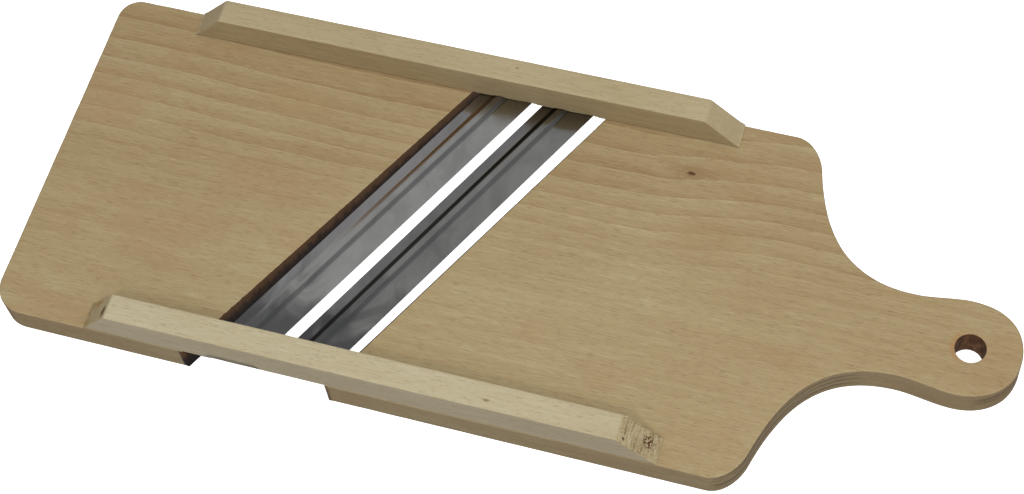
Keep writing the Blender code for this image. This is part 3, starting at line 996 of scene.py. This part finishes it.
end_board = carve(board_mesh("end_board_wood", end_board_outline()), holes.copy())
add_piece("end_board_wood", end_board, end_board_material(), "end_board")

handle_board = carve(board_mesh("handle_board_wood", handle_board_outline()), hang_hole())
handle_board = carve(handle_board, holes.copy())
add_piece("handle_board_wood", handle_board, handle_board_material(), "handle_board")

rail_materials = {"near_rail": near_rail_material, "far_rail": far_rail_material}
for rail_name, rail in RAILS.items():
    mesh = rail_mesh(rail_name + "_wood", rail)
    for blade in BLADES.values():
        mesh = carve(mesh, pocket_mesh(blade))
    mesh = carve(mesh, holes.copy())
    if rail_name == "near_rail":
        mesh = joined(mesh.name, [mesh] + [splinter(*sliver) for sliver in SPLINTERS])
    add_piece(rail_name + "_wood", mesh, rail_materials[rail_name](), rail_name)

# How bright each blade's painted reflection is, how strong the painted reflection on its bead's first flank
# is and what colour, and whether that fades nearer the front
BLADE_LOOKS = {
    "rear_blade": (1.04, 0.7, (0.24, 0.13, 0.07, 1), True),
    "front_blade": (0.76, 0.94, (0.015, 0.015, 0.013, 1), False),
}

for blade_name, looks in BLADE_LOOKS.items():
    mesh = carve(blade_mesh(blade_name + "_strip", BLADES[blade_name]), holes.copy())
    material = blade_material(blade_name, BLADES[blade_name], *looks)
    add_piece(blade_name + "_strip", mesh, material, blade_name, sharp_angle=28)

screw_steel = fastener_material("zinc_screw", paint(176, 172, 160), paint(128, 122, 108), 0.38)
nail_steel = fastener_material("dull_nail", paint(150, 148, 142), paint(104, 100, 94), 0.45)
for name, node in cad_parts.items():
    if "_screw_" in name or "_nail_" in name:
        node.material_slots[0].material = screw_steel if "_screw_" in name else nail_steel
        keep_flats_flat(node)

# Camera, from where the photograph was taken

AIM = Vector((-0.0034, -0.0003, 0.015))
AZIMUTH = math.radians(24.31)
ELEVATION = math.radians(61.26)
DISTANCE = 0.9461
ROLL = math.radians(-9.07)

lens = bpy.data.cameras.new("camera")
lens.lens = 77.73
lens.sensor_width = 36
lens.clip_start = 0.01
camera = bpy.data.objects.new("camera", lens)
bpy.context.scene.collection.objects.link(camera)
flat = math.cos(ELEVATION)
back = Vector((math.sin(AZIMUTH) * flat, -math.cos(AZIMUTH) * flat, math.sin(ELEVATION)))
camera.location = AIM + back * DISTANCE
camera.rotation_mode = "QUATERNION"
camera.rotation_quaternion = Quaternion(back, ROLL) @ (-back).to_track_quat("-Z", "Y")
bpy.context.scene.camera = camera

# Studio: a white floor that only the camera sees, a soft key from the near right, and an even surround

# The floor is just under the board's underside, so that the two faces don't flicker
FLOOR_Z = -0.0002
FLOOR_REACH = 5

FLOOR_SIGNS = ((-1, -1), (1, -1), (1, 1), (-1, 1))

floor_corners = [(x * FLOOR_REACH, y * FLOOR_REACH, FLOOR_Z) for x, y in FLOOR_SIGNS]
floor_mesh = bpy.data.meshes.new("floor")
floor_mesh.from_pydata(floor_corners, [], [(0, 1, 2, 3)])
floor = bpy.data.objects.new("floor", floor_mesh)
bpy.context.scene.collection.objects.link(floor)
floor_material = bpy.data.materials.new("floor")
floor_material.use_nodes = True
floor_shader = floor_material.node_tree.nodes["Principled BSDF"]
floor_shader.inputs["Base Color"].default_value = (0.85, 0.85, 0.85, 1)
floor_shader.inputs["Roughness"].default_value = 1.0
floor_shader.inputs["Specular IOR Level"].default_value = 0.0
floor_shader.inputs["Emission Color"].default_value = (1, 1, 1, 1)
floor_shader.inputs["Emission Strength"].default_value = 0.95
floor_mesh.materials.append(floor_material)
floor.visible_diffuse = False
floor.visible_glossy = False

KEY_TOWARDS = Vector((0.17, -0.15, 0.55)).normalized()
LIGHT_DISTANCE = 1.6
KEY_SIZE = 0.9
KEY_WATTS = 12.5
WINDOW_TOWARDS = Vector((0.05, -0.57, 0.82)).normalized()
WINDOW_SIZE = 0.16
WINDOW_WATTS = 4.5


def add_light(name, towards, size, watts):
    """A round soft light that shines at the object from this direction."""
    light = bpy.data.lights.new(name, "AREA")
    light.shape = "DISK"
    light.size = size
    light.energy = watts
    lamp = bpy.data.objects.new(name, light)
    bpy.context.scene.collection.objects.link(lamp)
    lamp.location = towards * LIGHT_DISTANCE
    lamp.rotation_mode = "QUATERNION"
    lamp.rotation_quaternion = towards.to_track_quat("Z", "Y")
    return lamp


add_light("key", KEY_TOWARDS, KEY_SIZE, KEY_WATTS).visible_glossy = False
add_light("window", WINDOW_TOWARDS, WINDOW_SIZE, WINDOW_WATTS)

SKY = (0.41, 0.41, 0.41, 1)
GROUND_GLOW = (0.44, 0.44, 0.45, 1)

world = bpy.data.worlds.new("studio")
bpy.context.scene.world = world
world.use_nodes = True
world_nodes = world.node_tree.nodes
world_links = world.node_tree.links
direction = world_nodes.new("ShaderNodeTexCoord").outputs["Generated"]
height = world_nodes.new("ShaderNodeSeparateXYZ")
world_links.new(direction, height.inputs[0])
surround = world_nodes.new("ShaderNodeValToRGB")
world_links.new(height.outputs[2], surround.inputs["Fac"])
surround.color_ramp.elements[0].position = 0.0
surround.color_ramp.elements[0].color = GROUND_GLOW
surround.color_ramp.elements[1].position = 0.02
surround.color_ramp.elements[1].color = SKY
world_links.new(surround.outputs["Color"], world_nodes["Background"].inputs["Color"])

bpy.context.scene.view_settings.view_transform = "Standard"
